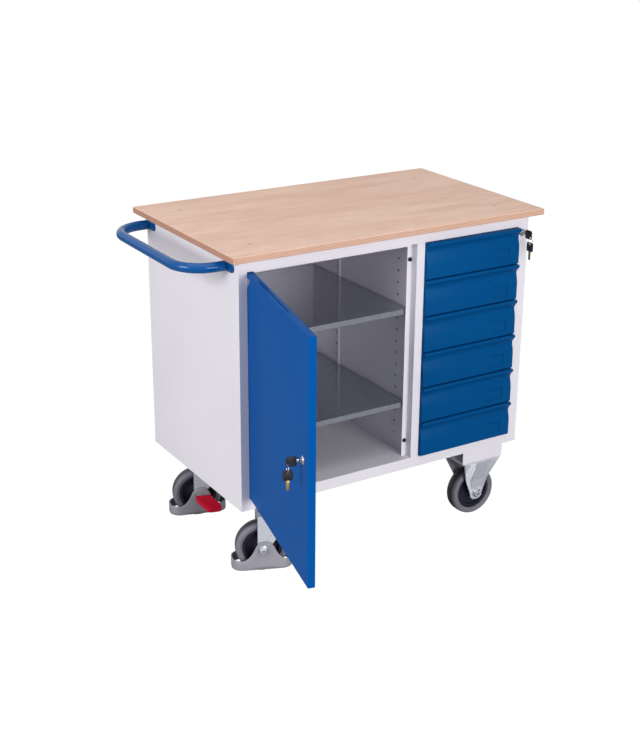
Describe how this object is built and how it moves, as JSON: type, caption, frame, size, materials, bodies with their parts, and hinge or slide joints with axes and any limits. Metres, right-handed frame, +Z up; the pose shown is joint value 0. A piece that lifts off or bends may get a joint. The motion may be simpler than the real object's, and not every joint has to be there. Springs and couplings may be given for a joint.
{
  "type": "mobile workbench",
  "caption": "Steel cabinet on castors under a plywood worktop, with a hinged door over shelves, a column of drawers, a push handle and guarded swivel castors.",
  "frame": {"origin": "floor point under the middle of the whole bench as stored, with its door open", "axes": "+X right along the cabinet's front, +Y from the front to the back, +Z up"},
  "size_m": [1.1004, 1.0618, 0.955],
  "materials": {
    "light_grey_paint": "semi-gloss powder coat",
    "drawer_blue_paint": "semi-gloss powder coat",
    "door_blue_paint": "semi-gloss powder coat",
    "multiplex": "oiled birch plywood",
    "galvanised": "galvanised sheet",
    "zinc": "bright zinc plate",
    "nickel": "nickel plate",
    "black_rubber": "matt",
    "grey_rubber": "matt",
    "black_plastic": "matt moulding",
    "key_black": "matt moulding",
    "grey_plastic": "matt moulding",
    "red_plastic": "satin moulding"
  },
  "bodies": {
    "cabinet": {"worktop": "multiplex", "cabinet_left_side": "light_grey_paint", "cabinet_right_side": "light_grey_paint", "cabinet_back": "light_grey_paint", "cabinet_floor": "light_grey_paint", "cabinet_top_frame": "light_grey_paint", "centre_post": "light_grey_paint", "centre_divider": "light_grey_paint", "left_lining": "light_grey_paint", "shelf_upper": "galvanised", "shelf_lower": "galvanised", "door_buffer_upper": "black_rubber", "door_buffer_lower": "black_rubber", "push_handle": "drawer_blue_paint", "drawer_runners_left": "galvanised", "drawer_runners_right": "galvanised", "drawer_lock_housing": "nickel", "castor_riser_front": "light_grey_paint", "castor_riser_rear": "light_grey_paint", "fixed_bracket_front": "zinc", "fixed_bracket_rear": "zinc", "swivel_head_front": "zinc", "swivel_head_rear": "zinc"},
    "door": {"door_panel": "door_blue_paint", "door_stiffener": "door_blue_paint", "door_lock_housing": "nickel"},
    "door_key": {"door_lock_plug": "nickel", "door_key": "key_black"},
    "door_spare_key": {"door_spare_key": "key_black"},
    "drawer_key": {"drawer_lock_plug": "nickel", "drawer_key": "key_black"},
    "drawer_spare_key": {"drawer_spare_key": "key_black"},
    "locking_bar": {"locking_bar": "galvanised"},
    "drawer_1": {"drawer_front_1": "drawer_blue_paint", "drawer_box_1": "light_grey_paint"},
    "drawer_2": {"drawer_front_2": "drawer_blue_paint", "drawer_box_2": "light_grey_paint"},
    "drawer_3": {"drawer_front_3": "drawer_blue_paint", "drawer_box_3": "light_grey_paint"},
    "drawer_4": {"drawer_front_4": "drawer_blue_paint", "drawer_box_4": "light_grey_paint"},
    "drawer_5": {"drawer_front_5": "drawer_blue_paint", "drawer_box_5": "light_grey_paint"},
    "drawer_6": {"drawer_front_6": "drawer_blue_paint", "drawer_box_6": "light_grey_paint"},
    "castor_front": {"castor_fork_front": "zinc", "foot_guard_front": "grey_plastic"},
    "brake_pedal_front": {"brake_pedal_front": "red_plastic"},
    "wheel_front_left": {"tyre_front_left": "grey_rubber", "wheel_core_front_left": "black_plastic"},
    "wheel_front_right": {"tyre_front_right": "grey_rubber", "wheel_core_front_right": "black_plastic"},
    "castor_rear": {"castor_fork_rear": "zinc", "foot_guard_rear": "grey_plastic"},
    "brake_pedal_rear": {"brake_pedal_rear": "red_plastic"},
    "wheel_rear_left": {"tyre_rear_left": "grey_rubber", "wheel_core_rear_left": "black_plastic"},
    "wheel_rear_right": {"tyre_rear_right": "grey_rubber", "wheel_core_rear_right": "black_plastic"}
  },
  "joints": [
    {"name": "door_hinge", "type": "hinge", "parent": "cabinet", "child": "door", "pos_m": [-0.38175, -0.02956, 0.58], "axis": [0, 0, 1], "range_deg": [0, 103]},
    {"name": "door_key_turn", "type": "hinge", "parent": "door", "child": "door_key", "pos_m": [-0.49685, -0.48586, 0.5835], "axis": [-0.9744, 0.225, 0], "range_deg": [0, 90]},
    {"name": "door_spare_key_swing", "type": "hinge", "parent": "door_key", "child": "door_spare_key", "pos_m": [-0.53241, -0.47765, 0.56585], "axis": [-0.9744, 0.225, 0], "range_deg": [-100, 100]},
    {"name": "drawer_key_turn", "type": "hinge", "parent": "cabinet", "child": "drawer_key", "pos_m": [0.49985, -0.03905, 0.8845], "axis": [0, -1, 0], "range_deg": [0, 90]},
    {"name": "drawer_spare_key_hang", "type": "hinge", "parent": "drawer_key", "child": "drawer_spare_key", "pos_m": [0.49985, -0.07555, 0.86685], "axis": [0, -1, 0], "range_deg": [-90, 0]},
    {"name": "locking_bar_shift", "type": "slide", "parent": "cabinet", "child": "locking_bar", "axis": [-1, 0, 0], "range_m": [0, 0.005]},
    {"name": "drawer_1_slide", "type": "slide", "parent": "cabinet", "child": "drawer_1", "axis": [0, -1, 0], "range_m": [0, 0.4]},
    {"name": "drawer_2_slide", "type": "slide", "parent": "cabinet", "child": "drawer_2", "axis": [0, -1, 0], "range_m": [0, 0.4]},
    {"name": "drawer_3_slide", "type": "slide", "parent": "cabinet", "child": "drawer_3", "axis": [0, -1, 0], "range_m": [0, 0.4]},
    {"name": "drawer_4_slide", "type": "slide", "parent": "cabinet", "child": "drawer_4", "axis": [0, -1, 0], "range_m": [0, 0.4]},
    {"name": "drawer_5_slide", "type": "slide", "parent": "cabinet", "child": "drawer_5", "axis": [0, -1, 0], "range_m": [0, 0.4]},
    {"name": "drawer_6_slide", "type": "slide", "parent": "cabinet", "child": "drawer_6", "axis": [0, -1, 0], "range_m": [0, 0.4]},
    {"name": "castor_front_swivel", "type": "hinge", "parent": "cabinet", "child": "castor_front", "pos_m": [-0.28275, 0.01895, 0.18], "axis": [0, 0, 1], "continuous": true},
    {"name": "wheel_front_left_spin", "type": "hinge", "parent": "castor_front", "child": "wheel_front_left", "pos_m": [-0.31984, 0.03393, 0.075], "axis": [0.3746, 0.9272, 0], "continuous": true},
    {"name": "brake_pedal_front_tilt", "type": "hinge", "parent": "castor_front", "child": "brake_pedal_front", "pos_m": [-0.31308, 0.07736, 0.07], "axis": [0.9272, -0.3746, 0], "range_deg": [0, 15]},
    {"name": "castor_rear_swivel", "type": "hinge", "parent": "cabinet", "child": "castor_rear", "pos_m": [-0.28275, 0.42095, 0.18], "axis": [0, 0, 1], "continuous": true},
    {"name": "wheel_rear_left_spin", "type": "hinge", "parent": "castor_rear", "child": "wheel_rear_left", "pos_m": [-0.321, 0.43264, 0.075], "axis": [0.2924, 0.9563, 0], "continuous": true},
    {"name": "brake_pedal_rear_tilt", "type": "hinge", "parent": "castor_rear", "child": "brake_pedal_rear", "pos_m": [-0.34308, 0.39463, 0.07], "axis": [-0.9563, 0.2924, 0], "range_deg": [0, 15]},
    {"name": "wheel_front_right_spin", "type": "hinge", "parent": "cabinet", "child": "wheel_front_right", "pos_m": [0.40225, 0.01895, 0.075], "axis": [0, 1, 0], "continuous": true},
    {"name": "wheel_rear_right_spin", "type": "hinge", "parent": "cabinet", "child": "wheel_rear_right", "pos_m": [0.40225, 0.42095, 0.075], "axis": [0, 1, 0], "continuous": true}
  ],
  "couplings": [
    {"joint": "drawer_spare_key_hang", "follows": "drawer_key_turn", "ratio": -1},
    {"joint": "locking_bar_shift", "follows": "drawer_key_turn", "m_per_rad": 0.0031831}
  ]
}
